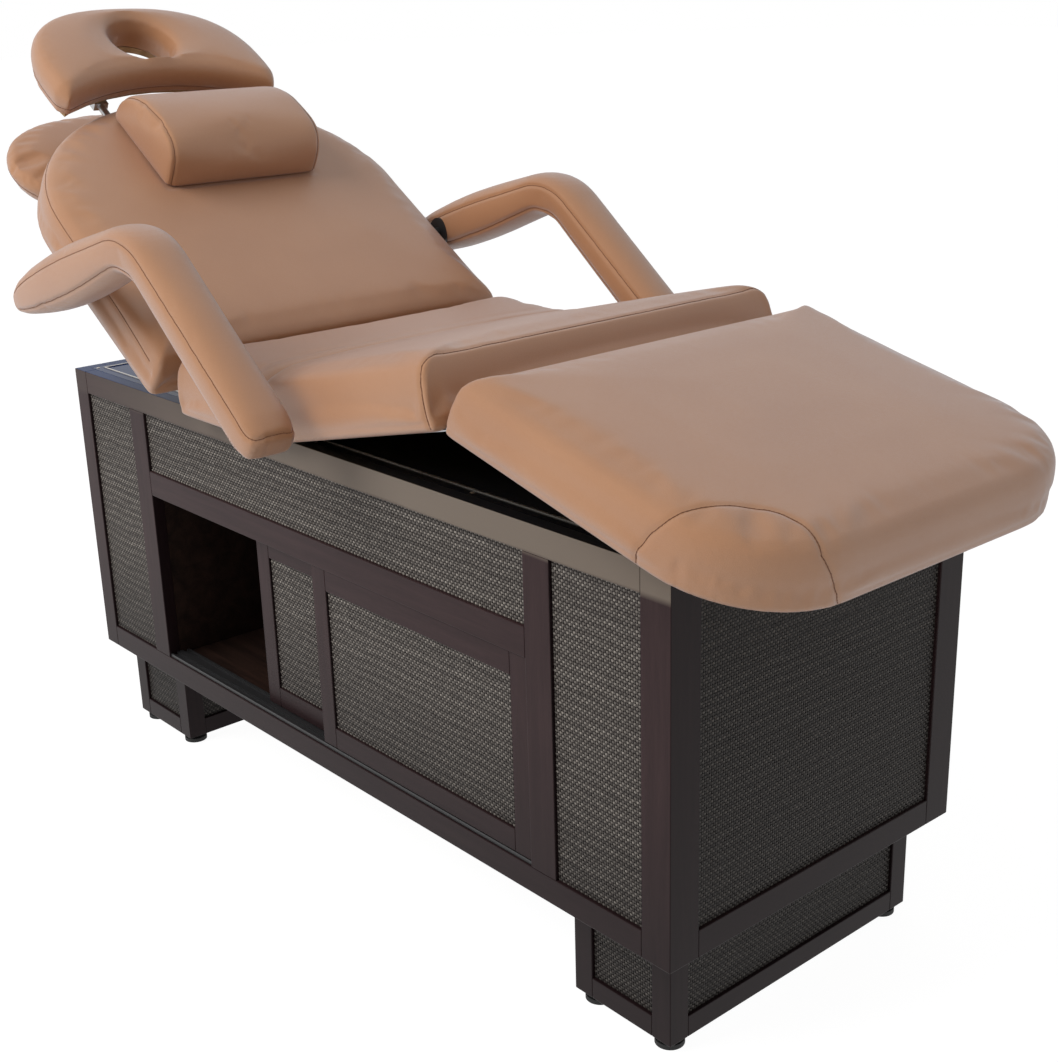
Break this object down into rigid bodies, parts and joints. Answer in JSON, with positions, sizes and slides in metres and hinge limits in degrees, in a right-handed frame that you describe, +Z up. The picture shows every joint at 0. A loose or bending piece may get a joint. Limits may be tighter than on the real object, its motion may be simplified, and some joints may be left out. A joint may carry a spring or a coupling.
{
  "type": "treatment couch",
  "caption": "A spa treatment couch with a dark wood cabinet with woven panels and sliding doors, tan leather sections, headrest, arm shelf and armrests.",
  "frame": {"origin": "middle of the couch's footprint on the floor", "axes": "+X towards the foot end, +Y towards the side away from the storage doors, +Z up"},
  "size_m": [2.0425, 0.912, 1.3186],
  "materials": {
    "dark_wood": "satin",
    "woven": "matte",
    "dark_board": "satin",
    "black_gloss": "gloss",
    "bright_trim": "satin",
    "black_rubber": "matte",
    "black_plastic": "matte",
    "tan_leather": "satin",
    "plywood": "satin",
    "steel": "satin",
    "black_steel": "satin"
  },
  "bodies": {
    "base": {"head_plinth": "dark_wood", "foot_plinth": "dark_wood", "plinth_inserts": "woven", "levelling_feet": "black_rubber", "lift_outer_columns": "steel"},
    "cabinet": {"corner_posts": "dark_wood", "front_frame": "dark_wood", "rear_frame": "dark_wood", "end_rails": "dark_wood", "front_woven_panels": "woven", "rear_woven_panels": "woven", "end_woven_panels": "woven", "bay_partitions": "dark_board", "storage_floor": "dark_board", "storage_ceiling": "dark_board", "storage_back": "dark_board", "top_board": "black_gloss", "top_trim": "bright_trim", "trim_screws": "bright_trim", "door_tracks": "black_steel", "lift_inner_columns": "steel", "control_box": "black_plastic", "mechanism_brackets": "black_steel", "back_hinge_lugs": "black_steel", "thigh_hinge_leaf": "steel", "seat_board": "plywood", "seat_cushion": "tan_leather"},
    "front_door": {"front_door_frame": "dark_wood", "front_door_insert": "woven"},
    "rear_door": {"rear_door_frame": "dark_wood", "rear_door_insert": "woven"},
    "thigh": {"thigh_board": "plywood", "thigh_knuckles": "steel", "thigh_cushion": "tan_leather"},
    "leg": {"leg_board": "plywood", "leg_cranks": "steel", "leg_cushion": "tan_leather"},
    "knee_link": {"knee_links": "steel"},
    "thigh_actuator": {"thigh_actuator_tube": "black_steel"},
    "thigh_rod": {"thigh_actuator_rod": "steel"},
    "back": {"back_board": "plywood", "back_forks": "black_steel", "back_crank": "black_steel", "rod_sockets": "black_steel", "shelf_hangers": "black_steel", "armrest_brackets": "black_steel", "back_cushion": "tan_leather"},
    "back_actuator": {"back_actuator_tube": "black_steel"},
    "back_rod": {"back_actuator_rod": "steel"},
    "headrest": {"headrest_rods": "steel", "headrest_board": "plywood", "headrest_cushion": "tan_leather"},
    "arm_shelf": {"shelf_rods": "steel", "shelf_board": "plywood", "shelf_cushion": "tan_leather"},
    "right_armrest": {"right_arm_hub": "black_steel", "right_armrest": "tan_leather"},
    "left_armrest": {"left_arm_hub": "black_steel", "left_armrest": "tan_leather"},
    "bolster": {"bolster": "tan_leather"}
  },
  "joints": [
    {"name": "lift", "type": "slide", "parent": "base", "child": "cabinet", "axis": [0, 0, 1], "range_m": [-0.125, 0.125]},
    {"name": "front_door_slide", "type": "slide", "parent": "cabinet", "child": "front_door", "axis": [-1, 0, 0], "range_m": [0, 0.491]},
    {"name": "rear_door_slide", "type": "slide", "parent": "cabinet", "child": "rear_door", "axis": [-1, 0, 0], "range_m": [-0.191, 0.3]},
    {"name": "back_tilt", "type": "hinge", "parent": "cabinet", "child": "back", "pos_m": [-0.21914, 0, 0.754], "axis": [0, 1, 0], "range_deg": [-33, 27]},
    {"name": "back_actuator_tilt", "type": "hinge", "parent": "cabinet", "child": "back_actuator", "pos_m": [-0.12714, 0, 0.64], "axis": [0, 1, 0], "range_deg": [-14.76, 12.08]},
    {"name": "back_actuator_stroke", "type": "slide", "parent": "back_actuator", "child": "back_rod", "axis": [-0.9453, 0, 0.3262], "range_m": [-0.0474, 0.03887]},
    {"name": "thigh_tilt", "type": "hinge", "parent": "cabinet", "child": "thigh", "pos_m": [0.05786, 0, 0.708], "axis": [0, -1, 0], "range_deg": [-12.4, 4.75]},
    {"name": "thigh_actuator_tilt", "type": "hinge", "parent": "cabinet", "child": "thigh_actuator", "pos_m": [0.03706, 0, 0.64], "axis": [0, -1, 0], "range_deg": [-9.62, 3.72]},
    {"name": "thigh_actuator_stroke", "type": "slide", "parent": "thigh_actuator", "child": "thigh_rod", "axis": [0.9215, 0, 0.3883], "range_m": [-0.0129, 0.00525]},
    {"name": "leg_tilt", "type": "hinge", "parent": "thigh", "child": "leg", "pos_m": [0.47779, 0, 0.80072], "axis": [0, 1, 0], "range_deg": [-25.83, 9.93]},
    {"name": "knee_link_tilt", "type": "hinge", "parent": "cabinet", "child": "knee_link", "pos_m": [0.13986, 0, 0.642], "axis": [0, -1, 0], "range_deg": [-13.95, 5.37]},
    {"name": "headrest_slide", "type": "slide", "parent": "back", "child": "headrest", "axis": [-0.8387, 0, 0.5446], "range_m": [0, 0.08]},
    {"name": "arm_shelf_slide", "type": "slide", "parent": "back", "child": "arm_shelf", "axis": [-0.8387, 0, 0.5446], "range_m": [0, 0.06]},
    {"name": "right_armrest_tilt", "type": "hinge", "parent": "back", "child": "right_armrest", "pos_m": [-0.41206, -0.366, 0.893], "axis": [0, -1, 0], "range_deg": [-10, 100]},
    {"name": "left_armrest_tilt", "type": "hinge", "parent": "back", "child": "left_armrest", "pos_m": [-0.41206, 0.366, 0.893], "axis": [0, -1, 0], "range_deg": [-10, 100]},
    {"name": "bolster_lift_off", "type": "slide", "parent": "back", "child": "bolster", "axis": [0.5446, 0, 0.8387], "range_m": [0, 0.15]}
  ],
  "couplings": [
    {"joint": "back_actuator_tilt", "follows": "back_tilt", "ratio": 0.44565},
    {"joint": "back_actuator_stroke", "follows": "back_tilt", "m_per_rad": 0.081426},
    {"joint": "thigh_actuator_tilt", "follows": "thigh_tilt", "ratio": 0.77174},
    {"joint": "thigh_actuator_stroke", "follows": "thigh_tilt", "m_per_rad": 0.057287},
    {"joint": "leg_tilt", "follows": "thigh_tilt", "ratio": 2.0793},
    {"joint": "knee_link_tilt", "follows": "thigh_tilt", "ratio": 1.1209}
  ]
}
